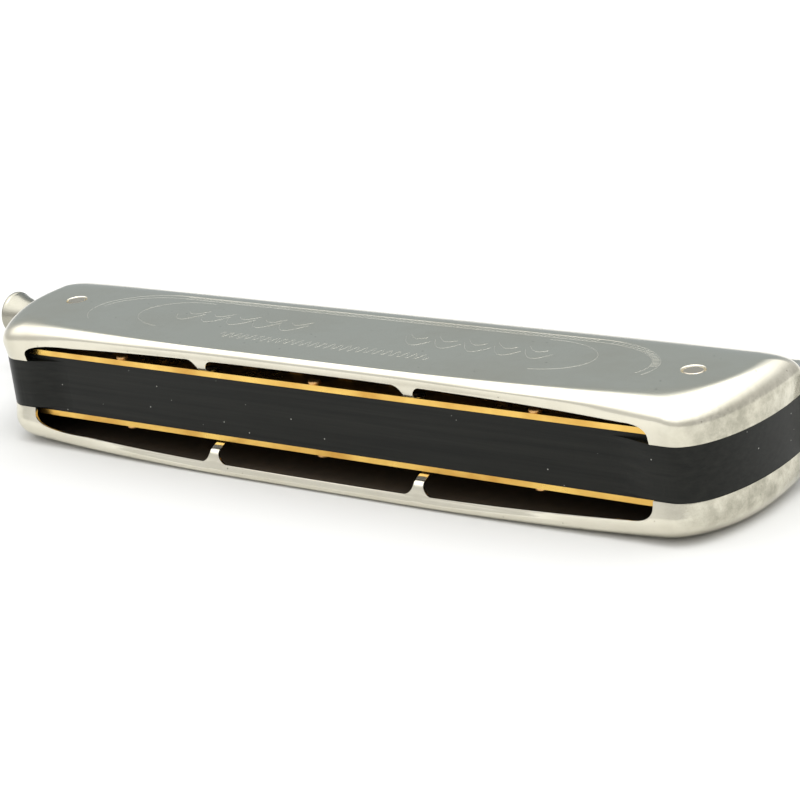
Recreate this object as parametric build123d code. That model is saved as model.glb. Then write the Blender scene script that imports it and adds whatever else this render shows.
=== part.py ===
"""Twelve-hole chromatic slide harmonica, built piece by piece.

Frame, in millimetres: the origin is the centre of the lower cover's flat resting face, +X runs
along the instrument towards the slide button, -Y points to the player's mouth and +Z is up.
The pieces are drawn about the comb's mid-plane and lifted by MID_Z when they are written.
"""
from build123d import *
import math
import os

# comb and reed plates
MID_Z = 10.6
COMB_THICK = 9.6
COMB_REAR = 13.0
COMB_FRONT = -13.8
COMB_END = 68.2
BAND_HALF = 4.05
BAY_HALF = 50.5
BAY_FADE = 9.0
CORNER_X = 60.2
CORNER_Y = -6.6
PLATE_THICK = 0.9
PLATE_HALF = 59.0
PLATE_FRONT = -13.3
PLATE_CORNER = 0.8
HOLE_COUNT = 12
HOLE_PITCH = 9.2
CHAMBER_WIDTH = 6.8
CHAMBER_REAR = 9.3
WEB_THICK = 1.8

# covers, pressed from sheet
SHEET = 0.5
TOP = 10.6
SKIRT_LOW = 4.1
COVER_END = 69.0
SKIRT_REAR = 14.6
REAR_BULGE = 1.38
END_BULGE = 0.3
BULGE_HEIGHT = 9.48
ROLL_REAR = 1.12
ROLL_END = 4.7
ROLL_SPREAD = (18.0, 70.0)
COVER_FRONT = -12.8
FRONT_LOW = 5.9
FRONT_CORNER = 4.0
FLAT_END = 64.2
FLAT_MID = -1.5
FLAT_REAR = 14.86
FLAT_FRONT = -4.8
FLAT_REAR_POWER = 3.2
FLAT_FRONT_POWER = 5.0
COVER_STEPS = (16, 30, 42, 52, 60, 67, 73, 79, 84, 90)
CUTOUT_HALF = 57.55
LIP_CURVE = [(56.6, 6.5), (52.0, 7.3), (40.0, 8.05), (20.0, 8.5), (0.0, 8.6)]
LIP_END = 5.4
TAB_X = 19.25
TAB_NECK = 1.65
TAB_FOOT = 2.4
TAB_FLARE = 1.9

# cover bolts
BOLT_PLACES = {1: (57.1, 1.5), -1: (-58.5, 2.3)}
BOLT_R = 0.85
CUP_R = 1.8
HEAD_R = 1.5
HEAD_HIGH = 0.55
NUT_R = 1.65
MOUTH_SCREW_R = 1.1

# reeds
REED_LONG = 14.5
REED_SHORT = 8.5
REED_WIDE = 2.0
REED_THICK = 0.2
REED_SIDE = 1.65
DRAW_ROOT = 5.5
BLOW_ROOT = -8.2
PAD_LONG = 2.8
PAD_WIDE = 2.4
RIVET_R = 0.55
VALVE_THICK = 0.2
NAIL_R = 0.45
NAIL_REAR_Y = 11.95
NAIL_FRONT_Y = -10.9
NAIL_SPREAD = 38.5

# slide and mouthpiece
TRAVEL = HOLE_PITCH / 2
SHIM = 0.6
FIT = 0.05
WINDOW_WIDE = 4.3
WINDOW_HIGH = 3.6
WINDOW_MID = 2.7
GUIDE_HALF = 5.9
GUIDE_END = 72.0
BASE_Y = COMB_FRONT - SHIM
SLIDE_Y = BASE_Y - FIT - SHIM
CAGE_Y = SLIDE_Y - FIT - SHIM
SLIDE_HALF = 5.05
SLIDE_LEFT = -66.9
SLIDE_RIGHT = 66.0
TONGUE_WIDE_END = 71.6
TONGUE_END = 84.0
MOUTH_END = 72.5
MOUTH_DEEP = 7.2
MOUTH_HOLE_R = 3.0
MOUTH_SCREW_X = 64.5
SPRING_X = 61.2
BUTTON_RIM_R = 4.0
BUTTON_END = 89.8
BUTTON_NECK_R = 2.4
BUTTON_BASE_R = 3.0
BUMPER_THICK = 1.4
BUMPER_R = 2.9
BUMPER_X = MOUTH_END + TRAVEL + 0.1

EXTRA = 1.0


def hole_centres():
    """X of each mouth hole, low notes first."""
    return [(i - (HOLE_COUNT - 1) / 2) * HOLE_PITCH for i in range(HOLE_COUNT)]


def block(x0, x1, y0, y1, z0, z1):
    """A box between two corners."""
    centre = ((x0 + x1) / 2, (y0 + y1) / 2, (z0 + z1) / 2)
    return Pos(*centre) * Box(abs(x1 - x0), abs(y1 - y0), abs(z1 - z0))


def upright(x, y, radius, z0, z1):
    """A cylinder along Z from z0 to z1."""
    return Pos(x, y, (z0 + z1) / 2) * Cylinder(radius, abs(z1 - z0))


def along_y(x, z, radius, y0, y1):
    """A cylinder along Y from y0 to y1."""
    return Pos(x, (y0 + y1) / 2, z) * Rot(90, 0, 0) * Cylinder(radius, abs(y1 - y0))


def below(solids):
    """The mirror image of upper pieces, for the lower half."""
    return [mirror(solid, about=Plane.XY) for solid in solids]


# ---------------------------------------------------------------- comb

def comb_outline(end, rear):
    """Plan of the comb: square at the front, elliptical rear corners."""
    wide = end - CORNER_X
    deep = rear - CORNER_Y
    right = EllipticalCenterArc((CORNER_X, CORNER_Y), wide, deep, start_angle=0, arc_size=90)
    left = EllipticalCenterArc((-CORNER_X, CORNER_Y), wide, deep, start_angle=90, arc_size=90)
    edges = [Line((-end, COMB_FRONT), (end, COMB_FRONT)), Line((end, COMB_FRONT), (end, CORNER_Y)), right,
             Line((CORNER_X, rear), (-CORNER_X, rear)), left, Line((-end, CORNER_Y), (-end, COMB_FRONT))]
    return make_face(Wire(edges))


def rear_bay():
    """Plan of the hollow that the band fades out of, between the covers' rear corners."""
    outer = BAY_HALF + BAY_FADE
    right = Spline((BAY_HALF, COMB_REAR), (outer, SKIRT_REAR), tangents=[(1, 0), (1, 0)])
    left = Spline((-outer, SKIRT_REAR), (-BAY_HALF, COMB_REAR), tangents=[(1, 0), (1, 0)])
    back = Polyline((outer, SKIRT_REAR), (outer, SKIRT_REAR + EXTRA), (-outer, SKIRT_REAR + EXTRA),
                    (-outer, SKIRT_REAR))
    return make_face(Wire([left, Line((-BAY_HALF, COMB_REAR), (BAY_HALF, COMB_REAR)), right, *back.edges()]))


def comb():
    """Wooden body with two rows of chambers, and a band round its ends flush with the covers' skirts."""
    half = COMB_THICK / 2
    body = extrude(Pos(0, 0, -half) * comb_outline(COMB_END, COMB_REAR), amount=COMB_THICK)
    band = comb_outline(COVER_END, SKIRT_REAR) - rear_bay()
    body += extrude(Pos(0, 0, -BAND_HALF) * band, amount=2 * BAND_HALF)
    for x in hole_centres():
        for side in (-1, 1):
            body -= block(x - CHAMBER_WIDTH / 2, x + CHAMBER_WIDTH / 2, COMB_FRONT - EXTRA, CHAMBER_REAR,
                          side * WEB_THICK / 2, side * (half + EXTRA))
    for x, y in nail_places():
        for side in (-1, 1):
            body -= upright(x, y, NAIL_R + 0.01, side * 1.5, side * (half + EXTRA))
    for end in (-1, 1):
        body -= upright(*BOLT_PLACES[end], BOLT_R + 0.2, -half - EXTRA, half + EXTRA)
        body -= along_y(end * MOUTH_SCREW_X, 0, 1.12, COMB_FRONT - EXTRA, -7.9)
    return body - block(55.8, 62.0, COMB_FRONT - EXTRA, -5.0, -0.8, 0.8)


# ---------------------------------------------------------------- reed plates

def reed_length(index):
    """Working length of a reed, longest at the low end."""
    return REED_LONG + (REED_SHORT - REED_LONG) * index / (HOLE_COUNT - 1)


def nail_places():
    """Three nails along the rear rail and four in the walls near the front."""
    rear = [(x, NAIL_REAR_Y) for x in (-NAIL_SPREAD, 0.0, NAIL_SPREAD)]
    front = [(k * HOLE_PITCH, NAIL_FRONT_Y) for k in (-5, -3, 3, 5)]
    return rear + front


def reed_plate():
    """Upper brass plate with a draw slot and a blow slot over each chamber."""
    low = COMB_THICK / 2
    deep = COMB_REAR - PLATE_FRONT
    outline = Pos(0, (COMB_REAR + PLATE_FRONT) / 2) * RectangleRounded(2 * PLATE_HALF, deep, PLATE_CORNER)
    plate = extrude(Pos(0, 0, low) * outline, amount=PLATE_THICK)
    for index, x in enumerate(hole_centres()):
        long = reed_length(index) + 0.1
        wide = REED_WIDE / 2 + 0.08
        draw = x + REED_SIDE
        blow = x - REED_SIDE
        plate -= block(draw - wide, draw + wide, DRAW_ROOT - long, DRAW_ROOT, low - EXTRA, low + 2 * EXTRA)
        plate -= block(blow - wide, blow + wide, BLOW_ROOT, BLOW_ROOT + long, low - EXTRA, low + 2 * EXTRA)
        plate -= upright(draw, DRAW_ROOT + PAD_LONG / 2, RIVET_R + 0.02, low - EXTRA, low + 2 * EXTRA)
        plate -= upright(blow, BLOW_ROOT - PAD_LONG / 2, RIVET_R + 0.02, low - EXTRA, low + 2 * EXTRA)
    for x, y in nail_places():
        plate -= upright(x, y, NAIL_R + 0.01, low - EXTRA, low + 2 * EXTRA)
    for end in (-1, 1):
        plate -= upright(*BOLT_PLACES[end], 2.0, low - EXTRA, low + 2 * EXTRA)
    return plate


def reed(x, root, tip_way, length, z, out):
    """One reed: a riveted pad and a tongue. tip_way is the tongue's way along Y, out is up or down."""
    tongue = block(x - REED_WIDE / 2, x + REED_WIDE / 2, root, root + tip_way * length, z, z + out * REED_THICK)
    pad = block(x - PAD_WIDE / 2, x + PAD_WIDE / 2, root, root - tip_way * PAD_LONG, z, z + out * REED_THICK * 1.5)
    hole = upright(x, root - tip_way * PAD_LONG / 2, RIVET_R + 0.02, z - EXTRA, z + EXTRA)
    return tongue + pad - hole


def draw_reeds():
    """Reeds on the outer face of the upper plate."""
    top = COMB_THICK / 2 + PLATE_THICK
    return [reed(x + REED_SIDE, DRAW_ROOT, -1, reed_length(i), top, 1) for i, x in enumerate(hole_centres())]


def blow_reeds():
    """Reeds on the inner face of the upper plate, inside the chambers."""
    low = COMB_THICK / 2
    return [reed(x - REED_SIDE, BLOW_ROOT, 1, reed_length(i), low, -1) for i, x in enumerate(hole_centres())]


def rivet(x, y, z, out):
    """Rivet with a domed head on the reed's side and a flat tail on the other."""
    pad = REED_THICK * 1.5
    head = upright(x, y, 0.85, z + out * pad, z + out * (pad + 0.3))
    head = fillet(head.edges().group_by(Axis.Z)[-1 if out > 0 else 0], 0.2)
    shank = upright(x, y, RIVET_R, z + out * pad, z - out * (PLATE_THICK + 0.15))
    tail = upright(x, y, 0.75, z - out * PLATE_THICK, z - out * (PLATE_THICK + 0.15))
    return head + shank + tail


def reed_rivets():
    """The 24 rivets of the upper plate."""
    low = COMB_THICK / 2
    out = [rivet(x + REED_SIDE, DRAW_ROOT + PAD_LONG / 2, low + PLATE_THICK, 1) for x in hole_centres()]
    return out + [rivet(x - REED_SIDE, BLOW_ROOT - PAD_LONG / 2, low, -1) for x in hole_centres()]


def valves():
    """Windsaver strips of the upper plate, one over the back of each slot."""
    low = COMB_THICK / 2
    top = low + PLATE_THICK
    strips = []
    for index, x in enumerate(hole_centres()):
        long = reed_length(index) + 0.6
        draw = x + REED_SIDE
        blow = x - REED_SIDE
        strips.append(block(draw - 1.2, draw + 1.2, DRAW_ROOT - long, DRAW_ROOT + 0.5, low - VALVE_THICK, low))
        strips.append(block(blow - 1.2, blow + 1.2, BLOW_ROOT - 0.5, BLOW_ROOT + long, top, top + VALVE_THICK))
    return strips


def plate_nails():
    """Round-headed brass nails that hold the upper plate to the comb."""
    top = COMB_THICK / 2 + PLATE_THICK
    nails = []
    for x, y in nail_places():
        head = upright(x, y, 1.0, top, top + 0.5)
        head = fillet(head.edges().group_by(Axis.Z)[-1], 0.3)
        nails.append(head + upright(x, y, NAIL_R, 1.8, top))
    return nails


# ---------------------------------------------------------------- covers

def roll_height(x):
    """Height of the rolled upper edge: small along the rear, large at the ends."""
    t = min(max((abs(x) - ROLL_SPREAD[0]) / (ROLL_SPREAD[1] - ROLL_SPREAD[0]), 0.0), 1.0)
    return ROLL_REAR + (ROLL_END - ROLL_REAR) * t * t * (3 - 2 * t)


def flat_edge(x, way):
    """Edge of the flat top: a long superellipse, way is +1 towards the rear and -1 to the front."""
    power = FLAT_REAR_POWER if way > 0 else FLAT_FRONT_POWER
    deep = FLAT_REAR - FLAT_MID if way > 0 else FLAT_MID - FLAT_FRONT
    flat_x = x * FLAT_END / COVER_END
    return (flat_x, FLAT_MID + way * deep * max(1 - (flat_x / FLAT_END) ** power, 0.0) ** (1 / power))


def stations():
    """Skirt points of one half with their outward normals, from the front's middle to the rear's."""
    found = [(x, COVER_FRONT, 0.0, -1.0) for x in (0.0, 15.0, 30.0, 45.0, 57.0, 63.5)]
    for turn in (-65, -40, -15):
        nx = math.cos(math.radians(turn))
        ny = math.sin(math.radians(turn))
        found.append((COVER_END - FRONT_CORNER * (1 - nx), COVER_FRONT + FRONT_CORNER * (1 + ny), nx, ny))
    wide = COVER_END - CORNER_X
    deep = SKIRT_REAR - CORNER_Y
    for turn in (0, 15, 30, 45, 58, 70, 80):
        c = math.cos(math.radians(turn))
        s = math.sin(math.radians(turn))
        size = math.hypot(deep * c, wide * s)
        found.append((CORNER_X + wide * c, CORNER_Y + deep * s, deep * c / size, wide * s / size))
    return found + [(x, SKIRT_REAR, 0.0, 1.0) for x in (58.0, 52.0, 45.0, 36.0, 27.0, 18.0, 9.0, 0.0)]


def half_outline(z, skin):
    """Plan of one half of the cover at height z, for a skin taken off the outside."""
    points = []
    for x, y, nx, ny in stations():
        height = roll_height(x) if ny >= 0 else TOP - FRONT_LOW
        rise = min(max((z - TOP + height) / (height - skin), 0.0), 1.0)
        wall = math.sqrt(1 - rise * rise)
        bulge = END_BULGE + (REAR_BULGE - END_BULGE) * ny * ny if ny >= 0 else END_BULGE * nx * nx
        out = bulge * min(max((z - SKIRT_LOW) / (BULGE_HEIGHT - SKIRT_LOW), 0.0), 1.0) - skin
        flat_x, flat_y = flat_edge(x, 1 if ny >= 0 else -1)
        points.append((flat_x + (x + nx * out - flat_x) * wall, flat_y + (y + ny * out - flat_y) * wall))
    return points


def cover_section(z, skin):
    """Closed plan of the cover at height z."""
    half = half_outline(z, skin)
    right = Spline(*half, tangents=[(1, 0), (-1, 0)])
    left = Spline(*[(-x, y) for x, y in reversed(half)], tangents=[(-1, 0), (1, 0)])
    return Pos(0, 0, z) * make_face(Wire([*right.edges(), *left.edges()]))


def cover_body(skin, low):
    """Solid of the cover's outer form, or with a skin taken off, of its inside."""
    top = TOP - skin
    levels = [low] + [SKIRT_LOW + (top - SKIRT_LOW) * math.sin(math.radians(a)) for a in COVER_STEPS]
    return loft([cover_section(z, skin) for z in levels], ruled=True)


def rear_cutout():
    """The open back: one long opening under the rear lip."""
    right = [(CUTOUT_HALF, LIP_END)] + LIP_CURVE
    left = [(-x, z) for x, z in reversed(right[:-1])]
    lip = Spline(*(right + left))
    foot = SKIRT_LOW - 2 * EXTRA
    sides = Polyline((-CUTOUT_HALF, LIP_END), (-CUTOUT_HALF, foot), (CUTOUT_HALF, foot), (CUTOUT_HALF, LIP_END))
    face = make_face(Wire([*lip.edges(), *sides.edges()]))
    return extrude(Plane.XZ * face, amount=-20) & block(-70, 70, 10.5, 20, -10, 10)


def tab(x):
    """A tongue bent in from the rear lip, with flared root and a foot on the reed plate."""
    foot = COMB_THICK / 2 + PLATE_THICK
    strip = Polyline((15.62, 9.1), (15.1, 7.6), (12.2, foot), (11.2, foot), (11.2, foot + SHEET),
                     (12.05, foot + SHEET), (14.6, 7.9), (15.1, 9.1), close=True)
    bent = extrude(Plane.YZ * make_face(strip), amount=4, both=True)
    flare_low = 8.56 - TAB_FLARE
    reach = TAB_NECK / 2 + TAB_FLARE
    face = Pos(0, (flare_low + 9.3) / 2) * Rectangle(2 * reach, 9.3 - flare_low)
    for side in (-1, 1):
        face -= Pos(side * reach, flare_low) * Circle(TAB_FLARE)
    face += Pos(0, 7.4) * Rectangle(TAB_NECK, 3.8)
    face += Pos(0, foot + 0.3) * Rectangle(TAB_FOOT, 0.6)
    return Pos(x, 0, 0) * (bent & extrude(Plane.XZ * face, amount=-20))


def cover():
    """Upper cover: drawn sheet with an open back, two tabs and two cups for the bolts."""
    shell = cover_body(0, SKIRT_LOW) - cover_body(SHEET, SKIRT_LOW - EXTRA)
    shell -= rear_cutout()
    shell -= block(-75, 75, -20, COVER_FRONT + FRONT_CORNER, 0, COMB_THICK / 2 + PLATE_THICK + 0.02)
    for end in (-1, 1):
        shell += upright(*BOLT_PLACES[end], CUP_R + SHEET, TOP - 2 * SHEET - 0.2, TOP - SHEET / 2)
        shell -= upright(*BOLT_PLACES[end], CUP_R, TOP - SHEET - 0.15, TOP + EXTRA)
        shell -= upright(*BOLT_PLACES[end], BOLT_R + 0.1, TOP - 3, TOP + EXTRA)
        shell += tab(end * TAB_X)
    return shell


def cover_bolts():
    """Two through bolts, put in from opposite sides."""
    seat = TOP - SHEET - 0.15
    bolt = upright(0, 0, HEAD_R, seat, seat + HEAD_HIGH)
    bolt = fillet(bolt.edges().group_by(Axis.Z)[-1], 0.2)
    bolt += upright(0, 0, BOLT_R, -seat - HEAD_HIGH, seat)
    return [Pos(*BOLT_PLACES[-1]) * bolt, Pos(*BOLT_PLACES[1]) * Rot(0, 180, 0) * bolt]


def cover_nuts():
    """Hexagonal nuts at the other end of each bolt."""
    seat = TOP - SHEET - 0.15
    face = RegularPolygon(NUT_R, 6) - Circle(BOLT_R + 0.02)
    nut = Pos(0, 0, seat) * extrude(face, amount=HEAD_HIGH)
    return [Pos(*BOLT_PLACES[1]) * nut, Pos(*BOLT_PLACES[-1]) * Rot(0, 180, 0) * nut]


# ---------------------------------------------------------------- slide and mouthpiece

def window_rows(y0, y1, lower_shift):
    """Cutters for the upper and lower row of windows through a thin plate."""
    cuts = []
    for x in hole_centres():
        for side, shift in ((1, 0.0), (-1, lower_shift)):
            cuts.append(block(x + shift - WINDOW_WIDE / 2, x + shift + WINDOW_WIDE / 2, y0, y1,
                              side * (WINDOW_MID - WINDOW_HIGH / 2), side * (WINDOW_MID + WINDOW_HIGH / 2)))
    return cuts


def slide_base_plate():
    """Thin plate between comb and slide, with a slot for the spring's tip."""
    plate = block(-GUIDE_END, GUIDE_END, BASE_Y, COMB_FRONT, -GUIDE_HALF, GUIDE_HALF)
    for cut in window_rows(BASE_Y - EXTRA, COMB_FRONT + EXTRA, 0.0):
        plate -= cut
    for end in (-1, 1):
        plate -= along_y(end * MOUTH_SCREW_X, 0, MOUTH_SCREW_R + 0.1, BASE_Y - EXTRA, COMB_FRONT + EXTRA)
    return plate - block(SPRING_X - TRAVEL - 0.8, SPRING_X + 0.7, BASE_Y - EXTRA, COMB_FRONT + EXTRA, -0.6, 0.6)


def slide():
    """The moving plate: staggered windows, a forked left end and a tongue for the button."""
    y0 = SLIDE_Y
    y1 = SLIDE_Y + SHIM
    plate = block(SLIDE_LEFT, SLIDE_RIGHT, y0, y1, -SLIDE_HALF, SLIDE_HALF)
    plate += block(SLIDE_RIGHT - EXTRA, TONGUE_WIDE_END, y0, y1, -3.2, 3.2)
    plate += block(SLIDE_RIGHT, TONGUE_END, y0, y1, -2.0, 2.0)
    for cut in window_rows(y0 - EXTRA, y1 + EXTRA, TRAVEL):
        plate -= cut
    for end in (-1, 1):
        start = end * MOUTH_SCREW_X - 1.3
        left = start if end > 0 else SLIDE_LEFT - EXTRA
        right = end * MOUTH_SCREW_X + TRAVEL + 1.3
        plate -= block(left, right, y0 - EXTRA, y1 + EXTRA, -1.3, 1.3)
    return plate - along_y(SPRING_X, 0, 0.55, y0 - EXTRA, y1 + EXTRA)


def slide_cage():
    """Guide in front of the slide: a thin plate with a rail above and below the slide."""
    cage = block(-GUIDE_END, GUIDE_END, CAGE_Y, BASE_Y, -GUIDE_HALF, GUIDE_HALF)
    cage -= block(-GUIDE_END - EXTRA, GUIDE_END + EXTRA, CAGE_Y + SHIM, BASE_Y + EXTRA,
                  -SLIDE_HALF - FIT, SLIDE_HALF + FIT)
    for x in hole_centres():
        cage -= block(x - 2.7, x + 2.7, CAGE_Y - EXTRA, BASE_Y + EXTRA, -4.6, 4.6)
    for end in (-1, 1):
        cage -= along_y(end * MOUTH_SCREW_X, 0, MOUTH_SCREW_R + 0.1, CAGE_Y - EXTRA, BASE_Y + EXTRA)
    return cage


def mouthpiece():
    """Plated mouthpiece with a rounded lip and twelve round holes."""
    arc = EllipticalCenterArc((CAGE_Y, 0), MOUTH_DEEP, GUIDE_HALF, start_angle=90, arc_size=180)
    lip = make_face(Wire([*arc.edges(), Line((CAGE_Y, -GUIDE_HALF), (CAGE_Y, GUIDE_HALF))]))
    body = extrude(Plane.YZ * lip, amount=MOUTH_END + EXTRA, both=True)
    plan = Pos(0, CAGE_Y) * RectangleRounded(2 * MOUTH_END, 2 * MOUTH_DEEP + EXTRA, 5.5)
    body &= extrude(Pos(0, 0, -10) * plan, amount=20)
    for x in hole_centres():
        body -= along_y(x, 0, MOUTH_HOLE_R, CAGE_Y - MOUTH_DEEP - EXTRA, CAGE_Y + EXTRA)
    for end in (-1, 1):
        body -= along_y(end * MOUTH_SCREW_X, 0, MOUTH_SCREW_R + 0.1, CAGE_Y - MOUTH_DEEP - EXTRA, CAGE_Y + EXTRA)
        body -= along_y(end * MOUTH_SCREW_X, 0, 2.3, CAGE_Y - MOUTH_DEEP - EXTRA, CAGE_Y - MOUTH_DEEP + 2.2)
    return body


def mouthpiece_screws():
    """Two slotted screws through the mouthpiece into the comb."""
    seat = CAGE_Y - MOUTH_DEEP + 2.2
    screw = along_y(0, 0, 2.1, seat - 1.3, seat) + along_y(0, 0, MOUTH_SCREW_R, seat, -8.0)
    screw -= block(-3, 3, seat - 2, seat - 0.8, -0.25, 0.25)
    return [Pos(end * MOUTH_SCREW_X, 0, 0) * screw for end in (-1, 1)]


def tongue_slot(x0, x1):
    """Cutter of the tongue's section."""
    return block(x0, x1, SLIDE_Y, SLIDE_Y + SHIM, -2.0, 2.0)


def slide_button():
    """Trumpet-shaped button pressed on the slide's tongue."""
    base = BUMPER_X + BUMPER_THICK
    rim = BUTTON_END - 1.0
    flare = Spline((base + 2.2, BUTTON_NECK_R), (rim - 4.2, BUTTON_NECK_R + 0.15), (rim - 1.5, BUTTON_RIM_R - 0.65),
                   (rim, BUTTON_RIM_R), tangents=[(1, 0), (1, 0.6)])
    cap = Spline((rim, BUTTON_RIM_R), (BUTTON_END - 0.35, BUTTON_RIM_R - 0.15), (BUTTON_END, BUTTON_RIM_R - 1.2),
                 tangents=[(0.6, 0.3), (0, -1)])
    rest = Polyline((BUTTON_END, BUTTON_RIM_R - 1.2), (BUTTON_END - 0.3, 0), (base, 0), (base, BUTTON_BASE_R),
                    (base + 1.2, BUTTON_BASE_R), (base + 2.2, BUTTON_NECK_R))
    profile = make_face(Wire([*flare.edges(), *cap.edges(), *rest.edges()]))
    knob = Pos(0, SLIDE_Y + SHIM / 2, 0) * revolve(profile, axis=Axis.X)
    return knob - tongue_slot(base - EXTRA, TONGUE_END)


def slide_bumper():
    """Rubber ring behind the button, which meets the mouthpiece's end."""
    ring = Pos(BUMPER_X + BUMPER_THICK / 2, SLIDE_Y + SHIM / 2, 0) * Rot(0, 90, 0) * Cylinder(BUMPER_R, BUMPER_THICK)
    return fillet(ring.edges(), 0.35) - tongue_slot(BUMPER_X - EXTRA, TONGUE_END)


def slide_spring():
    """Hairpin of wire: one leg rests in the comb's pocket, the other's tip sits in the slide."""
    path = FilletPolyline((56.5, -13.3, 0), (58.4, -5.7, 0), (59.6, -5.7, 0), (SPRING_X, -12.4, 0),
                          (SPRING_X, SLIDE_Y + 0.05, 0), radius=0.55)
    start = Plane(origin=path @ 0, z_dir=path % 0)
    return sweep(start * Circle(0.4), path=path)


# ---------------------------------------------------------------- all the nodes

def nodes():
    """Every node of the harmonica and its solids, about the comb's mid-plane."""
    upper_cover = cover()
    plate = reed_plate()
    halves = {
        "draw_reeds": draw_reeds(),
        "blow_reeds": blow_reeds(),
        "reed_rivets": reed_rivets(),
        "valves": valves(),
        "plate_nails": plate_nails(),
        "reed_plate": [plate],
        "cover": [upper_cover],
    }
    made = {
        "comb": [comb()],
        "cover_bolts": cover_bolts(),
        "cover_nuts": cover_nuts(),
        "slide_base_plate": [slide_base_plate()],
        "slide": [slide()],
        "slide_cage": [slide_cage()],
        "slide_spring": [slide_spring()],
        "slide_bumper": [slide_bumper()],
        "slide_button": [slide_button()],
        "mouthpiece": [mouthpiece()],
        "mouthpiece_screws": mouthpiece_screws(),
    }
    for name, solids in halves.items():
        made["upper_" + name] = solids
        made["lower_" + name] = below(solids)
    return made


def main():
    os.makedirs("parts", exist_ok=True)
    for name, solids in nodes().items():
        lifted = [Pos(0, 0, MID_Z) * solid for shape in solids for solid in shape.solids()]
        shape = lifted[0] if len(lifted) == 1 else Compound(children=lifted)
        shape.label = name
        export_step(shape, "parts/" + name + ".step")
        print(name, len(lifted))


main()
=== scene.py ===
"""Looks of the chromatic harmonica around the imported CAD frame. Sizes here are in millimetres."""
import math

import bmesh
import bpy
from mathutils import Matrix, Vector


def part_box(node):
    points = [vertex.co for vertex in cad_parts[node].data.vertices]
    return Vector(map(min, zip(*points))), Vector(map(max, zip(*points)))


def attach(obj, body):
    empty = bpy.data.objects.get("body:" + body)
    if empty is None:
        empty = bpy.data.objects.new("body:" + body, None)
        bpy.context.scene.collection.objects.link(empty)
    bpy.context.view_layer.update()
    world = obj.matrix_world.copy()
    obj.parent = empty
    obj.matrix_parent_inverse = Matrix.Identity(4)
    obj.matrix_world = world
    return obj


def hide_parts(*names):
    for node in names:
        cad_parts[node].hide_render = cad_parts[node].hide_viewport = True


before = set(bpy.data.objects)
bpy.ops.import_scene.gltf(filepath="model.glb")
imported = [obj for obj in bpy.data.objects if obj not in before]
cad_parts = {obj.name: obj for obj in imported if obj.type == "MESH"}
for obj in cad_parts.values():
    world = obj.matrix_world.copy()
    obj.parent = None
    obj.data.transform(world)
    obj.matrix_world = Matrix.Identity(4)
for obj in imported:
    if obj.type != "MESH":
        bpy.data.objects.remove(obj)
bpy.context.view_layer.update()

MM = 0.001
BODY = "harmonica_body"
SLIDER = "slide_and_button"

# the covers' form, as in the CAD model; MID_Z is the mid-plane, and heights are above it
MID_Z = 10.6
TOP = 10.6
SHEET = 0.5
SKIRT_LOW = 4.1
COVER_END = 69.0
COVER_FRONT = -12.8
FRONT_LOW = 5.72
FRONT_ROLL = 4.7
FRONT_CORNER = 4.0
CORNER_X = 60.2
CORNER_Y = -6.6
SKIRT_REAR = 14.6
REAR_BULGE = 1.38
END_BULGE = 0.3
BULGE_HEIGHT = 9.48
ROLL_REAR = 1.12
ROLL_END = 4.7
ROLL_SPREAD = (18.0, 70.0)
FLAT_END = 64.2
FLAT_MID = -1.5
FLAT_REAR = 14.86
FLAT_FRONT = -4.8
FLAT_REAR_POWER = 3.2
FLAT_FRONT_POWER = 5.0
FRONT_STRAIGHT = 65.0
FRONT_SKIRT_TURN = -20
RING_INSET = 0.25
RING_AIM_X = 0.9
RING_AIM_Y = 5.0
FRONT_COLUMNS = 40
END_COLUMNS = 44
STRAIGHT_ROWS = 14
ARC_ROWS = 20

# the rear window: its corners start nearer the middle on the button's side, +1
CUT_END = 57.6
CUT_STARTS = {1: 46.0, -1: 54.0}
CUT_POWER = 2.4
LIP_CREST = 8.6
LIP_DROP = 1.3
LIP_SPAN = 52.0
LIP_POWER = 2.6
LIP_END = 5.0
LIP_Y = 15.2
CURL = 0.12
CURL_HIGH = 0.9
CURL_FADE = (42.0, 56.0)

# the tabs that reach from the lip down to the reed plate
TAB_X = 19.25
TAB_NECK = 0.825
TAB_FLARE = 1.9
TAB_ROOT = 8.56
TAB_TIP_Y = 12.2
TAB_TIP_Z = 5.75
TAB_BEND_POWER = 6
EDGE_GAP = 0.02

# the cups for the cover bolts' heads and nuts
BOLTS = ((57.1, 1.5), (-58.5, 2.3))
CUP_R = 1.75
CUP_DEEP = 0.65
BOLT_HOLE_R = 0.95

# points closer than this are one point
COVER_WELD = 0.004
BUTTON_WELD = 0.002

# the button's outline, besides the size of its CAD node; the collar is (along, radius)
BUTTON_TURNS = 96
BUTTON_COLLAR = ((0.0, 0.0), (0.0, 2.8), (0.15, 2.98), (0.9, 2.98), (1.05, 2.86), (1.2, 2.55), (1.6, 2.4))
BUTTON_NECK_R = 2.36
BUTTON_NECK_START = 1.9
BUTTON_FLARE_POWER = 2.6
BUTTON_FLARE_BACK = 1.2
BUTTON_FLARE_IN = 0.25
BUTTON_EDGE_IN = 0.62
BUTTON_EDGE_LONG = 0.57
BUTTON_EDGE_ROUND = 0.6
BUTTON_FACE_BACK = 0.12
BUTTON_FACE_IN = 1.1
BUTTON_DISH = 0.5

# the engraved ornament: its middle, and the border's half length, half depth and end length
ORNAMENT = (-1.3, 3.4)
OVAL_LONG = 52.0
OVAL_DEEP = 8.6
OVAL_END = 13.0
BORDER_GAP = 1.2
HATCH_HALF = 38.5
HATCH_COUNT = 110
HATCH_LEAN = 0.35
FLOURISH_X = 33.0
ARC_LONG = 9.0
ARC_DEEP = 6.0
LEAVES = 5
LEAF_GAP = 5.2
WAVES = 13
WAVE_GAP = 3.0
STROKE_R = 0.04
STROKE_SINK = 0.03
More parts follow.
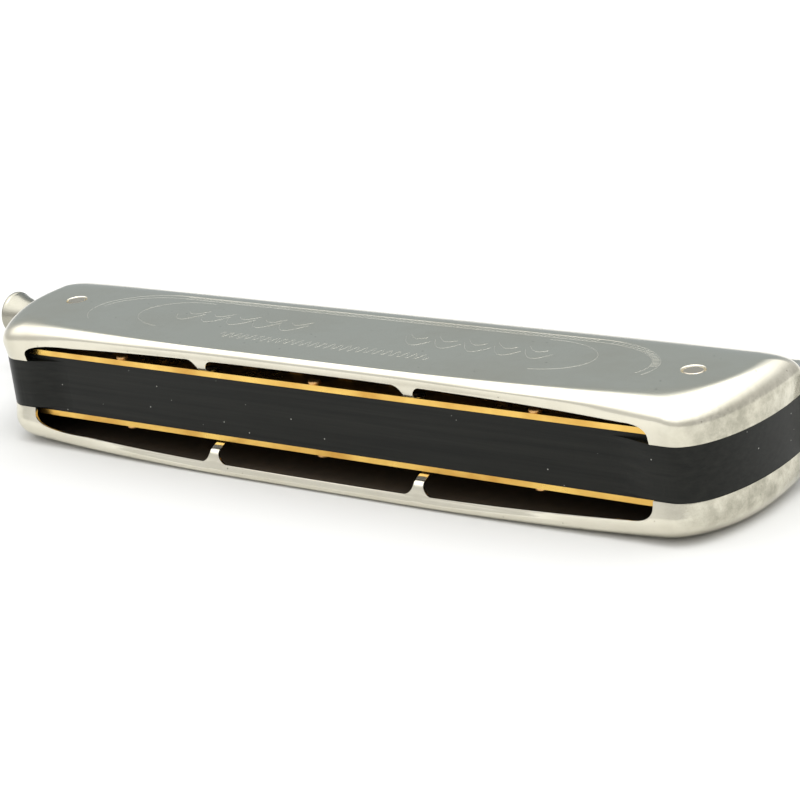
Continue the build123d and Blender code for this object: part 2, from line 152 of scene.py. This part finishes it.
# a leaf's two strokes: length, start, rise, share of a half turn, fall, steps
LEAF_STROKES = ((5.0, 1.6, 4.0, 0.8, 1.5, 12), (3.6, 3.0, 2.6, 0.7, 1.2, 10))

# the camera and the stage
CAMERA_PLACE = (-184.8, 240.0, 118.1)
CAMERA_AZIMUTH = 36.6
CAMERA_ELEVATION = 19.9
CAMERA_ROLL = 6.74
CAMERA_LENS = 93.3
FLOOR_R = 1260.0
GREY_WALL_WAY = (0.56, -0.755, 0.34)
GREY_WALL_EDGE = (0.80, 0.92)
GREY_WALL = (0.39, 0.43, 0.455, 1)
PALE_WALLS = (0.74, 0.74, 0.74, 1)
CEILING_EDGE = (0.3, 0.75)
CEILING = (2.3, 2.3, 2.3, 1)


# ---------------------------------------------------------------- small helpers

def smooth(t):
    """Smooth step of t between 0 and 1."""
    t = min(max(t, 0.0), 1.0)
    return t * t * (3 - 2 * t)


def steps(start, end, count):
    """count + 1 even steps from start to end."""
    return [start + (end - start) * i / count for i in range(count + 1)]


def add_mesh(name, verts, faces, body):
    """A mesh object in the frame from millimetre points, riding on a body."""
    mesh = bpy.data.meshes.new(name)
    mesh.from_pydata([Vector(v) * MM for v in verts], [], faces)
    mesh.validate()
    obj = bpy.data.objects.new(name, mesh)
    bpy.context.scene.collection.objects.link(obj)
    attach(obj, body)
    return obj


def smooth_faces(obj):
    """Smooth shading on every face."""
    for polygon in obj.data.polygons:
        polygon.use_smooth = True


def bevel(obj, width, segments=2, angle=35):
    """Rounded edges, and normals that keep the large faces flat."""
    mod = obj.modifiers.new("edges", "BEVEL")
    mod.width = width * MM
    mod.segments = segments
    mod.limit_method = "ANGLE"
    mod.angle_limit = math.radians(angle)
    normals = obj.modifiers.new("normals", "WEIGHTED_NORMAL")
    normals.keep_sharp = True


# ---------------------------------------------------------------- materials

class Shader:
    """A material's node tree with short calls for the nodes used here."""

    def __init__(self, name):
        self.mat = bpy.data.materials.new(name)
        self.mat.use_nodes = True
        self.tree = self.mat.node_tree
        self.bsdf = self.tree.nodes["Principled BSDF"]
        coords = self.tree.nodes.new("ShaderNodeTexCoord")
        self.coords = coords.outputs["Object"]

    def link(self, a, b):
        """Joins an output to an input."""
        self.tree.links.new(a, b)

    def scaled(self, scale):
        """Object coordinates stretched by a scale per axis."""
        node = self.tree.nodes.new("ShaderNodeMapping")
        node.inputs["Scale"].default_value = scale
        self.link(self.coords, node.inputs["Vector"])
        return node.outputs["Vector"]

    def noise(self, scale, size=1.0, detail=4.0, rough=0.5):
        """Noise on the stretched coordinates."""
        node = self.tree.nodes.new("ShaderNodeTexNoise")
        node.inputs["Scale"].default_value = size
        node.inputs["Detail"].default_value = detail
        node.inputs["Roughness"].default_value = rough
        self.link(self.scaled(scale), node.inputs["Vector"])
        return node.outputs["Fac"]

    def cells(self, size):
        """Distance to the nearest random point, for specks."""
        node = self.tree.nodes.new("ShaderNodeTexVoronoi")
        node.inputs["Scale"].default_value = size
        self.link(self.coords, node.inputs["Vector"])
        return node.outputs["Distance"]

    def ramp(self, fac, stops):
        """Colour or grey ramp; stops are (place, grey or colour)."""
        node = self.tree.nodes.new("ShaderNodeValToRGB")
        elements = node.color_ramp.elements
        while len(elements) < len(stops):
            elements.new(0.5)
        for element, (place, value) in zip(elements, stops):
            element.position = place
            colour = value if isinstance(value, tuple) else (value, value, value)
            element.color = (*colour, 1.0)
        self.link(fac, node.inputs["Fac"])
        return node.outputs["Color"]

    def mix(self, fac, a, b):
        """Mix of two colours, each a socket or a tuple."""
        node = self.tree.nodes.new("ShaderNodeMix")
        node.data_type = "RGBA"
        self.link(fac, node.inputs["Factor"])
        for socket, value in ((node.inputs["A"], a), (node.inputs["B"], b)):
            if isinstance(value, tuple):
                socket.default_value = (*value, 1.0)
            else:
                self.link(value, socket)
        return node.outputs["Result"]

    def maths(self, operation, a, b):
        """One operation on two values, each a socket or a number."""
        node = self.tree.nodes.new("ShaderNodeMath")
        node.operation = operation
        for socket, value in zip(node.inputs, (a, b)):
            if isinstance(value, float):
                socket.default_value = value
            else:
                self.link(value, socket)
        return node.outputs["Value"]

    def colour(self, socket):
        """The base colour."""
        self.link(socket, self.bsdf.inputs["Base Color"])

    def roughness(self, fac, low, high):
        """Roughness that varies between two values."""
        self.link(self.ramp(fac, [(0.3, low), (0.7, high)]), self.bsdf.inputs["Roughness"])

    def bump(self, heights):
        """Bumps laid on each other; heights are (socket, distance in mm, strength)."""
        normal = None
        for socket, distance, strength in heights:
            node = self.tree.nodes.new("ShaderNodeBump")
            node.inputs["Distance"].default_value = distance * MM
            node.inputs["Strength"].default_value = strength
            self.link(socket, node.inputs["Height"])
            if normal is not None:
                self.link(normal, node.inputs["Normal"])
            normal = node.outputs["Normal"]
        self.link(normal, self.bsdf.inputs["Normal"])


def plated_metal(name, light, dark, rough_low, rough_high, wave=0.03, scratch=0.004, end_skirt_shade=None):
    """Plated sheet: faint waves, fine scratches along and across, dull patches and specks."""
    s = Shader(name)
    s.bsdf.inputs["Metallic"].default_value = 1.0
    patches = s.noise((1, 1, 1), 60.0, 5.0, 0.6)
    specks = s.ramp(s.cells(420.0), [(0.03, 0.0), (0.07, 1.0)])
    tone = s.mix(s.ramp(patches, [(0.42, 0.0), (0.72, 1.0)]), light, dark)
    # painted shade: an optional darker colour laid on the lower end skirts in place of their darker
    # reflection
    if end_skirt_shade is not None:
        tone = painted_shade_on_end_skirts(s, tone, end_skirt_shade)
    s.colour(s.mix(specks, tuple(c * 0.55 for c in dark), tone))
    s.roughness(patches, rough_low, rough_high)
    hairs = s.noise((90, 5200, 5200), 1.0, 2.0)
    cross = s.noise((4200, 120, 900), 1.0, 2.0)
    waves = s.noise((60, 110, 110), 1.0, 1.0)
    s.bump([(waves, wave, 1.0), (hairs, scratch, 1.0), (cross, scratch * 0.6, 1.0)])
    return s.mat


def painted_shade_on_end_skirts(s, light, dark):
    """Painted shade: darker grey patches on the lower part of the covers' end skirts, standing in for their
    darker reflection.
    """
    split = s.tree.nodes.new("ShaderNodeSeparateXYZ")
    s.link(s.coords, split.inputs["Vector"])
    spans = []
    # the painted shade grows towards the covers' ends and towards the skirts' lower edge
    for axis, centre, start, end in (("X", 0.0, 58.0, 66.0), ("Z", MID_Z, 9.6, 7.0)):
        shift = s.maths("SUBTRACT", split.outputs[axis], centre * MM)
        away = s.maths("ABSOLUTE", shift, 0.0)
        span = s.tree.nodes.new("ShaderNodeMapRange")
        span.inputs["From Min"].default_value = start * MM
        span.inputs["From Max"].default_value = end * MM
        s.link(away, span.inputs["Value"])
        spans.append(span.outputs["Result"])
    shade_patches = s.ramp(s.noise((1, 1, 1), 330.0, 6.0, 0.7), [(0.36, 0.25), (0.62, 1.0)])
    place = s.maths("MULTIPLY", spans[0], spans[1])
    return s.mix(s.maths("MULTIPLY", place, shade_patches), light, dark)


def lacquered_wood():
    """Black lacquer with faint lengthwise grain, dust specks and a soft shine."""
    s = Shader("comb_lacquer")
    grain = s.noise((28, 900, 1500), 1.0, 6.0, 0.65)
    cloud = s.noise((1, 1, 1), 45.0, 3.0)
    base = s.mix(s.ramp(grain, [(0.35, 0.0), (0.75, 1.0)]), (0.004, 0.0045, 0.0035), (0.012, 0.0125, 0.010))
    dust = s.ramp(s.cells(420.0), [(0.03, 1.0), (0.05, 0.0)])
    s.colour(s.mix(dust, base, (0.35, 0.35, 0.32)))
    s.roughness(cloud, 0.3, 0.46)
    s.bsdf.inputs["Specular IOR Level"].default_value = 0.2
    s.bump([(grain, 0.02, 0.6), (cloud, 0.05, 0.3)])
    return s.mat


def cut_brass(name, light, dark, rough):
    """Rolled brass: fine lengthwise lines and slight tarnish."""
    s = Shader(name)
    s.bsdf.inputs["Metallic"].default_value = 1.0
    lines = s.noise((120, 2600, 5200), 1.0, 4.0)
    stain = s.noise((1, 1, 1), 140.0, 4.0)
    s.colour(s.mix(s.ramp(stain, [(0.35, 0.0), (0.7, 1.0)]), light, dark))
    s.roughness(stain, rough, rough + 0.15)
    s.bump([(lines, 0.01, 0.8)])
    return s.mat


def plain_film(name, light, dark, rough):
    """Film, rubber, or the covers' inner face painted near-black brown as shade, each with a slight mottle.
    """
    s = Shader(name)
    mottle = s.noise((1, 1, 1), 260.0, 5.0)
    s.colour(s.mix(mottle, light, dark))
    s.roughness(mottle, rough, rough + 0.12)
    s.bump([(mottle, 0.02, 0.5)])
    return s.mat


def give(obj, *mats):
    """Puts materials in an object's slots."""
    obj.data.materials.clear()
    for mat in mats:
        obj.data.materials.append(mat)


def floor_material():
    """Matt pale paper with a very faint mottle."""
    s = Shader("pale_floor")
    grain = s.noise((1, 1, 1), 9.0, 3.0)
    s.colour(s.mix(grain, (0.57, 0.57, 0.56), (0.59, 0.59, 0.58)))
    s.bsdf.inputs["Roughness"].default_value = 0.9
    s.bsdf.inputs["Specular IOR Level"].default_value = 0.1
    return s.mat


# ---------------------------------------------------------------- covers

def roll_height(x):
    """Height of the rolled upper edge: small along the rear, large at the ends."""
    start, end = ROLL_SPREAD
    return ROLL_REAR + (ROLL_END - ROLL_REAR) * smooth((abs(x) - start) / (end - start))


def flat_edge(x, way):
    """Edge of the flat top; way is +1 towards the rear and -1 to the front."""
    power = FLAT_REAR_POWER if way > 0 else FLAT_FRONT_POWER
    deep = FLAT_REAR - FLAT_MID if way > 0 else FLAT_MID - FLAT_FRONT
    flat_x = x * FLAT_END / COVER_END
    return flat_x, FLAT_MID + way * deep * max(1 - (abs(flat_x) / FLAT_END) ** power, 0.0) ** (1 / power)


def lip_height(x, side):
    """Lower edge of the sheet along the rear: lip, tabs' flares and the skirts' corners."""
    start = CUT_STARTS[side]
    lip = LIP_CREST - LIP_DROP * (min(x, start) / LIP_SPAN) ** LIP_POWER
    if x >= CUT_END:
        return SKIRT_LOW
    if x > start:
        turn = (x - start) / (CUT_END - start)
        return LIP_END + (lip - LIP_END) * (1 - turn ** CUT_POWER) ** (1 / CUT_POWER)
    aside = abs(x - TAB_X)
    if aside <= TAB_NECK - EDGE_GAP:
        return TAB_TIP_Z
    if aside < TAB_NECK + TAB_FLARE:
        across = TAB_NECK + TAB_FLARE - aside
        return min(lip, TAB_ROOT - TAB_FLARE + math.sqrt(max(TAB_FLARE ** 2 - across ** 2, 0.0)))
    return lip


def rear_columns(side):
    """X of the mesh columns along the straight rear, closer at corners and tabs."""
    start = CUT_STARTS[side]
    columns = [59.6, 59.0, 58.4, 58.0, CUT_END]
    columns += [start + (CUT_END - start) * math.sin(math.radians(a)) - EDGE_GAP for a in range(90, -1, -6)]
    columns += steps(start - 1.5, TAB_X + TAB_NECK + TAB_FLARE + 0.5, 22)
    flare = [TAB_NECK + TAB_FLARE * (1 - math.cos(math.radians(a))) for a in range(90, -1, -9)]
    sides = flare + [TAB_NECK - EDGE_GAP, TAB_NECK * 0.6, TAB_NECK * 0.3]
    columns += [TAB_X + side for side in sides] + [TAB_X] + [TAB_X - side for side in reversed(sides)]
    return columns + steps(TAB_X - TAB_NECK - TAB_FLARE - 0.5, 0.0, 14)


def half_columns(side):
    """Columns of one half: skirt point, outward normal, roll height and lower edge."""
    columns = [(x, COVER_FRONT, 0.0, -1.0, FRONT_ROLL, FRONT_LOW)
               for x in steps(0.0, FRONT_STRAIGHT, FRONT_COLUMNS)]
    for turn in range(-84, 0, 7):
        nx = math.cos(math.radians(turn))
        ny = math.sin(math.radians(turn))
        low = FRONT_LOW if turn < FRONT_SKIRT_TURN else SKIRT_LOW
        columns.append((COVER_END - FRONT_CORNER * (1 - nx), COVER_FRONT + FRONT_CORNER * (1 + ny), nx, ny,
                        FRONT_ROLL, low))
    wide = COVER_END - CORNER_X
    deep = SKIRT_REAR - CORNER_Y
    for turn in steps(0, 89, END_COLUMNS):
        c = math.cos(math.radians(turn))
        s = math.sin(math.radians(turn))
        size = math.hypot(deep * c, wide * s)
        x = CORNER_X + wide * c
        columns.append((x, CORNER_Y + deep * s, deep * c / size, wide * s / size, roll_height(x), SKIRT_LOW))
    for x in rear_columns(side):
        columns.append((x, SKIRT_REAR, 0.0, 1.0, roll_height(x), lip_height(x, side)))
    return columns


def cover_point(column, z):
    """Point of the cover's outer face on a column at height z above the mid-plane."""
    x, y, nx, ny, height = column[:5]
    rise = min(max((z - TOP + height) / height, 0.0), 1.0)
    wall = math.sqrt(1 - rise * rise)
    bulge = END_BULGE + (REAR_BULGE - END_BULGE) * ny * ny if ny >= 0 else END_BULGE * nx * nx
    out = bulge * min((z - SKIRT_LOW) / (BULGE_HEIGHT - SKIRT_LOW), 1.0)
    flat_x, flat_y = flat_edge(x, 1 if ny >= 0 else -1)
    px = flat_x + (x + nx * out - flat_x) * wall
    py = flat_y + (y + ny * out - flat_y) * wall
    if ny == 1.0 and z < BULGE_HEIGHT:
        fade = smooth((abs(x) - CURL_FADE[0]) / (CURL_FADE[1] - CURL_FADE[0]))
        py -= CURL * min((BULGE_HEIGHT - z) / CURL_HIGH, 1.0) ** 2 * (1 - fade)
    if ny == 1.0 and abs(x - TAB_X) < TAB_NECK + TAB_FLARE and z < TAB_ROOT:
        fall = (TAB_ROOT - z) / (TAB_ROOT - TAB_TIP_Z)
        py += (TAB_TIP_Y - LIP_Y) * fall ** TAB_BEND_POWER
    return px, py, z


def column_heights(column):
    """Heights of a column's rows, from the sheet's lower edge to the flat top."""
    height, low = column[4], column[5]
    roll_low = TOP - height
    start = max(low, roll_low)
    first = math.degrees(math.asin((start - roll_low) / height))
    straight = steps(low, start, STRAIGHT_ROWS)[:-1]
    arc = [roll_low + height * math.sin(math.radians(a)) for a in steps(first, 90, ARC_ROWS)]
    return straight + arc


def fill_top(bm, ring, inner_loops):
    """Flat top between the outer ring and the cups' rims."""
    edges = []
    for loop in [ring] + inner_loops:
        edges += [bm.edges.get((a, b)) or bm.edges.new((a, b)) for a, b in zip(loop, loop[1:] + loop[:1])]
    bmesh.ops.triangle_fill(bm, use_beauty=True, use_dissolve=False, edges=edges, normal=(0, 0, 1))


def cup(bm, x, y):
    """Pressed cup for a bolt's head or nut, with soft rim; returns its outer loop."""
    profile = [(CUP_R + 0.3, 0.0), (CUP_R + 0.16, -0.01), (CUP_R + 0.06, -0.05), (CUP_R, -0.14),
               (CUP_R - 0.04, -CUP_DEEP + 0.12), (CUP_R - 0.16, -CUP_DEEP), (BOLT_HOLE_R, -CUP_DEEP)]
    turns = [math.radians(a) for a in range(0, 360, 6)]
    loops = [[bm.verts.new((x + r * math.cos(t), y + r * math.sin(t), TOP + z)) for t in turns]
             for r, z in profile]
    for outer, inner in zip(loops, loops[1:]):
        for i in range(len(turns)):
            j = (i + 1) % len(turns)
            bm.faces.new((outer[i], outer[j], inner[j], inner[i]))
    return loops[0]


def cover_mesh(name, node, lower):
    """Fine mesh of a drawn cover from its columns; the lower one is the upper one's mirror."""
    bm = bmesh.new()
    grid = [[bm.verts.new(cover_point(c, z)) for z in column_heights(c)] for c in half_columns(1)]
    for column in reversed(half_columns(-1)[1:-1]):
        grid.append([bm.verts.new((-x, y, z)) for x, y, z in
                     (cover_point(column, h) for h in column_heights(column))])
    count = len(grid)
    for i in range(count):
        a = grid[i]
        b = grid[(i + 1) % count]
        for row in range(len(a) - 1):
            bm.faces.new((a[row], b[row], b[row + 1], a[row + 1]))
    ring = []
    for column in grid:
        edge = column[-1].co
        inward = Vector((edge.x * RING_AIM_X, RING_AIM_Y, TOP)) - edge
        ring.append(bm.verts.new(edge + inward.normalized() * RING_INSET))
    for i in range(count):
        j = (i + 1) % count
        bm.faces.new((grid[i][-1], grid[j][-1], ring[j], ring[i]))
    fill_top(bm, ring, [cup(bm, x, y) for x, y in BOLTS])
    bmesh.ops.remove_doubles(bm, verts=bm.verts, dist=COVER_WELD)
    bmesh.ops.recalc_face_normals(bm, faces=bm.faces)
    flip = -1.0 if lower else 1.0
    for vert in bm.verts:
        vert.co.z *= flip
    if lower:
        bmesh.ops.reverse_faces(bm, faces=bm.faces)
    top_up = sum(f.normal.z * f.calc_area() for f in bm.faces) * flip
    if top_up < 0:
        bmesh.ops.reverse_faces(bm, faces=bm.faces)
    bmesh.ops.transform(bm, matrix=Matrix.Translation((0, 0, MID_Z)), verts=bm.verts)
    bmesh.ops.scale(bm, vec=(MM, MM, MM), verts=bm.verts)
    mesh = bpy.data.meshes.new(name)
    bm.to_mesh(mesh)
    bm.free()
    obj = bpy.data.objects.new(name, mesh)
    bpy.context.scene.collection.objects.link(obj)
    smooth_faces(obj)
    # the sheet's inner face takes the dark painted-shade material
    give(obj, cover_metal, cover_inside_painted_shade)
    solid = obj.modifiers.new("sheet", "SOLIDIFY")
    solid.thickness = SHEET * MM
    solid.offset = -1.0
    solid.material_offset = 1
    solid.material_offset_rim = 0
    bevel(obj, 0.1, angle=50)
    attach(obj, BODY)
    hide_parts(node)


# ---------------------------------------------------------------- button

def button():
    """Trumpet-shaped button turned about the slide's line."""
    low, high = (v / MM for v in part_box("slide_button"))
    axis_y = (low.y + high.y) / 2
    base = low.x
    tip = high.x
    rim = (high.z - low.z) / 2
    neck = base + BUTTON_NECK_START
    profile = [(base + along, r) for along, r in BUTTON_COLLAR]
    for t in steps(0.0, 1.0, 16):
        wider = (rim - BUTTON_FLARE_IN - BUTTON_NECK_R) * t ** BUTTON_FLARE_POWER
        profile.append((neck + (tip - BUTTON_FLARE_BACK - neck) * t, BUTTON_NECK_R + wider))
    for a in steps(40, 150, 10):
        turn = math.radians(a)
        profile.append((tip - BUTTON_EDGE_IN - BUTTON_EDGE_LONG * math.cos(turn),
                        rim - BUTTON_EDGE_IN + BUTTON_EDGE_ROUND * math.sin(turn)))
    for t in steps(0.0, 1.0, 8):
        profile.append((tip - BUTTON_FACE_BACK - BUTTON_DISH * math.sin(math.pi * t / 2),
                        (rim - BUTTON_FACE_IN) * (1 - t)))
    turns = BUTTON_TURNS
    verts = []
    for x, r in profile:
        for i in range(turns):
            a = 2 * math.pi * i / turns
            verts.append((x, axis_y + r * math.cos(a), MID_Z + r * math.sin(a)))
    faces = []
    for k in range(len(profile) - 1):
        for i in range(turns):
            j = (i + 1) % turns
            faces.append((k * turns + i, k * turns + j, (k + 1) * turns + j, (k + 1) * turns + i))
    obj = add_mesh("button_body", verts, faces, SLIDER)
    weld = bmesh.new()
    weld.from_mesh(obj.data)
    bmesh.ops.remove_doubles(weld, verts=weld.verts, dist=BUTTON_WELD * MM)
    bmesh.ops.recalc_face_normals(weld, faces=weld.faces)
    weld.to_mesh(obj.data)
    weld.free()
    smooth_faces(obj)
    give(obj, button_metal)
    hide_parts("slide_button")


# ---------------------------------------------------------------- engraving

def oval(shrink, angle):
    """A point of the border: straight sides with round ends."""
    c = math.cos(angle)
    x = math.copysign(OVAL_LONG - OVAL_END + (OVAL_END - shrink) * abs(c), c)
    return ORNAMENT[0] + x, ORNAMENT[1] + (OVAL_DEEP - shrink) * math.sin(angle)


def strokes():
    """All the engraved strokes as lists of plan points: borders, hatch, arcs, leaves and a wavy line."""
    middle_x, middle_y = ORNAMENT
    far = middle_y - OVAL_DEEP
    turns = [math.radians(a) for a in range(-200, 42, 3)]
    lines = [[oval(0.0, t) for t in turns], [oval(BORDER_GAP, t) for t in turns if t < 0.0]]
    for x in steps(middle_x - HATCH_HALF, middle_x + HATCH_HALF, HATCH_COUNT):
        lines.append([(x, far + 0.1), (x + HATCH_LEAN, far + 1.1)])
    for degree in range(-86, -8, 4):
        t = math.radians(degree - 90)
        lines.append([oval(0.1, t), oval(1.1, t)])
    for side in (-1, 1):
        centre = middle_x + side * FLOURISH_X
        lines.append([(centre + side * ARC_LONG * math.cos(t), middle_y - 0.5 + ARC_DEEP * math.sin(t))
                      for t in (math.radians(a) for a in range(-100, 81, 5))])
        for k in range(LEAVES):
            x = centre - side * (3.0 + LEAF_GAP * k)
            for long, start, rise, turn, fall, count in LEAF_STROKES:
                lines.append([(x + side * long * t,
                               middle_y - start + rise * math.sin(math.pi * turn * t) - fall * t)
                              for t in steps(0, 1, count)])
    for k in range(WAVES):
        x = middle_x - 18.0 + WAVE_GAP * k
        lines.append([(x + 1.5 * t, middle_y + 5.6 + 1.1 * math.sin(2 * math.pi * t))
                      for t in steps(0, 2, 16)])
    return lines


def engraving():
    """The ornament's lines, mostly sunk in the upper cover's face."""
    curve = bpy.data.curves.new("cover_engraving", "CURVE")
    curve.dimensions = "3D"
    curve.bevel_depth = STROKE_R * MM
    curve.bevel_resolution = 1
    level = (MID_Z + TOP - STROKE_SINK) * MM
    for line in strokes():
        spline = curve.splines.new("POLY")
        spline.points.add(len(line) - 1)
        for point, (x, y) in zip(spline.points, line):
            point.co = (x * MM, y * MM, level, 1.0)
    obj = bpy.data.objects.new("cover_engraving", curve)
    bpy.context.scene.collection.objects.link(obj)
    give(obj, engraved_metal)
    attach(obj, BODY)


# ---------------------------------------------------------------- stage

def camera():
    """Camera beyond the open back, low, off the end away from the button, and tilted a little."""
    azimuth = math.radians(CAMERA_AZIMUTH)
    elevation = math.radians(CAMERA_ELEVATION)
    roll = math.radians(CAMERA_ROLL)
    forward = Vector((math.sin(azimuth) * math.cos(elevation), -math.cos(azimuth) * math.cos(elevation),
                      -math.sin(elevation)))
    level = forward.cross(Vector((0, 0, 1))).normalized()
    down = forward.cross(level)
    right = level * math.cos(roll) + down * math.sin(roll)
    up = right.cross(forward)
    data = bpy.data.cameras.new("camera")
    data.lens = CAMERA_LENS
    data.sensor_width = 36.0
    data.clip_start = 0.01
    obj = bpy.data.objects.new("camera", data)
    bpy.context.scene.collection.objects.link(obj)
    turn = Matrix((right, up, -forward)).transposed().to_4x4()
    obj.matrix_world = Matrix.Translation(Vector(CAMERA_PLACE) * MM) @ turn
    bpy.context.scene.camera = obj


def sky():
    """Soft studio surround: pale walls, a bright ceiling, and one grey wall beyond the mouth."""
    world = bpy.data.worlds.new("studio")
    bpy.context.scene.world = world
    world.use_nodes = True
    tree = world.node_tree
    coords = tree.nodes.new("ShaderNodeTexCoord")
    toward = tree.nodes.new("ShaderNodeVectorMath")
    toward.operation = "DOT_PRODUCT"
    toward.inputs[1].default_value = GREY_WALL_WAY
    split = tree.nodes.new("ShaderNodeSeparateXYZ")
    wall = tree.nodes.new("ShaderNodeMapRange")
    wall.inputs["From Min"].default_value, wall.inputs["From Max"].default_value = GREY_WALL_EDGE
    height = tree.nodes.new("ShaderNodeMapRange")
    height.inputs["From Min"].default_value, height.inputs["From Max"].default_value = CEILING_EDGE
    walls = tree.nodes.new("ShaderNodeMix")
    walls.data_type = "RGBA"
    walls.inputs["A"].default_value = PALE_WALLS
    walls.inputs["B"].default_value = CEILING
    room = tree.nodes.new("ShaderNodeMix")
    room.data_type = "RGBA"
    room.inputs["B"].default_value = GREY_WALL
    tree.links.new(coords.outputs["Generated"], toward.inputs[0])
    tree.links.new(coords.outputs["Generated"], split.inputs["Vector"])
    tree.links.new(toward.outputs["Value"], wall.inputs["Value"])
    tree.links.new(split.outputs["Z"], height.inputs["Value"])
    tree.links.new(height.outputs["Result"], walls.inputs["Factor"])
    tree.links.new(wall.outputs["Result"], room.inputs["Factor"])
    tree.links.new(walls.outputs["Result"], room.inputs["A"])
    tree.links.new(room.outputs["Result"], tree.nodes["Background"].inputs["Color"])


def lamp(name, place, size, power):
    """A large soft lamp aimed at the middle of the instrument."""
    data = bpy.data.lights.new(name, "AREA")
    data.shape = "SQUARE"
    data.size = size
    data.energy = power
    obj = bpy.data.objects.new(name, data)
    obj.location = place
    obj.rotation_euler = (Vector((0, 0, 0.01)) - Vector(place)).to_track_quat("-Z", "Y").to_euler()
    bpy.context.scene.collection.objects.link(obj)


def floor():
    """A wide round floor under the instrument."""
    radius = FLOOR_R * MM
    turns = [math.radians(a) for a in range(0, 360, 5)]
    mesh = bpy.data.meshes.new("floor")
    mesh.from_pydata([(radius * math.cos(t), radius * math.sin(t), 0.0) for t in turns], [],
                     [tuple(range(len(turns)))])
    obj = bpy.data.objects.new("floor", mesh)
    bpy.context.scene.collection.objects.link(obj)
    give(obj, floor_material())


# ---------------------------------------------------------------- the whole scene

NICKEL = (0.80, 0.765, 0.645)
NICKEL_DULL = (0.70, 0.66, 0.54)
# the last colour is painted shade for the darker reflection on the lower end skirts
cover_metal = plated_metal("cover_plating", NICKEL, NICKEL_DULL, 0.12, 0.22, end_skirt_shade=(0.40, 0.385, 0.31))
# painted shade: the covers' inner face is dark brown in place of plated metal, standing in for the shaded
# cavity
cover_inside_painted_shade = plain_film("cover_inside_painted_shade", (0.05, 0.035, 0.02), (0.02, 0.015, 0.01), 0.6)
engraved_metal = plated_metal("engraved_lines", (0.86, 0.82, 0.70), (0.75, 0.70, 0.58), 0.3, 0.4)
button_metal = plated_metal("button_plating", (0.40, 0.385, 0.32), (0.22, 0.21, 0.165), 0.22, 0.36,
                            wave=0.05, scratch=0.012)
mouth_metal = plated_metal("mouthpiece_plating", NICKEL, NICKEL_DULL, 0.07, 0.14)
slide_metal = plated_metal("slide_plating", (0.74, 0.73, 0.7), (0.6, 0.59, 0.55), 0.2, 0.3)
screw_metal = plated_metal("screw_plating", (0.72, 0.66, 0.55), (0.5, 0.44, 0.35), 0.2, 0.35)
spring_metal = cut_brass("spring_wire", (0.6, 0.6, 0.6), (0.45, 0.45, 0.44), 0.3)
plate_brass = cut_brass("plate_brass", (0.90, 0.60, 0.16), (0.66, 0.36, 0.08), 0.24)
reed_brass = cut_brass("reed_brass", (0.9, 0.6, 0.25), (0.7, 0.42, 0.16), 0.35)
rivet_brass = cut_brass("rivet_brass", (0.85, 0.5, 0.2), (0.6, 0.35, 0.14), 0.35)
valve_film = plain_film("valve_film", (0.45, 0.36, 0.22), (0.35, 0.27, 0.16), 0.55)
bumper_rubber = plain_film("bumper_rubber", (0.02, 0.02, 0.02), (0.035, 0.035, 0.033), 0.65)

BY_WORD = [("cover_", screw_metal), ("comb", lacquered_wood()), ("reed_plate", plate_brass),
           ("reed_rivets", rivet_brass), ("plate_nails", rivet_brass), ("reeds", reed_brass),
           ("valves", valve_film), ("mouthpiece_screws", screw_metal), ("mouthpiece", mouth_metal),
           ("slide_spring", spring_metal), ("slide_bumper", bumper_rubber), ("slide", slide_metal)]
for node_name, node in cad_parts.items():
    for word, material in BY_WORD:
        if word in node_name:
            give(node, material)
            break

bevel(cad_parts["comb"], 0.25)
for node_name in ("upper_reed_plate", "lower_reed_plate"):
    bevel(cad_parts[node_name], 0.12)
bevel(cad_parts["mouthpiece"], 0.35, segments=3)
cover_mesh("upper_cover_sheet", "upper_cover", False)
cover_mesh("lower_cover_sheet", "lower_cover", True)
button()
engraving()

camera()
sky()
floor()
lamp("key", (-0.35, 0.1, 0.9), size=0.5, power=3.0)
bpy.context.scene.view_settings.view_transform = "Standard"
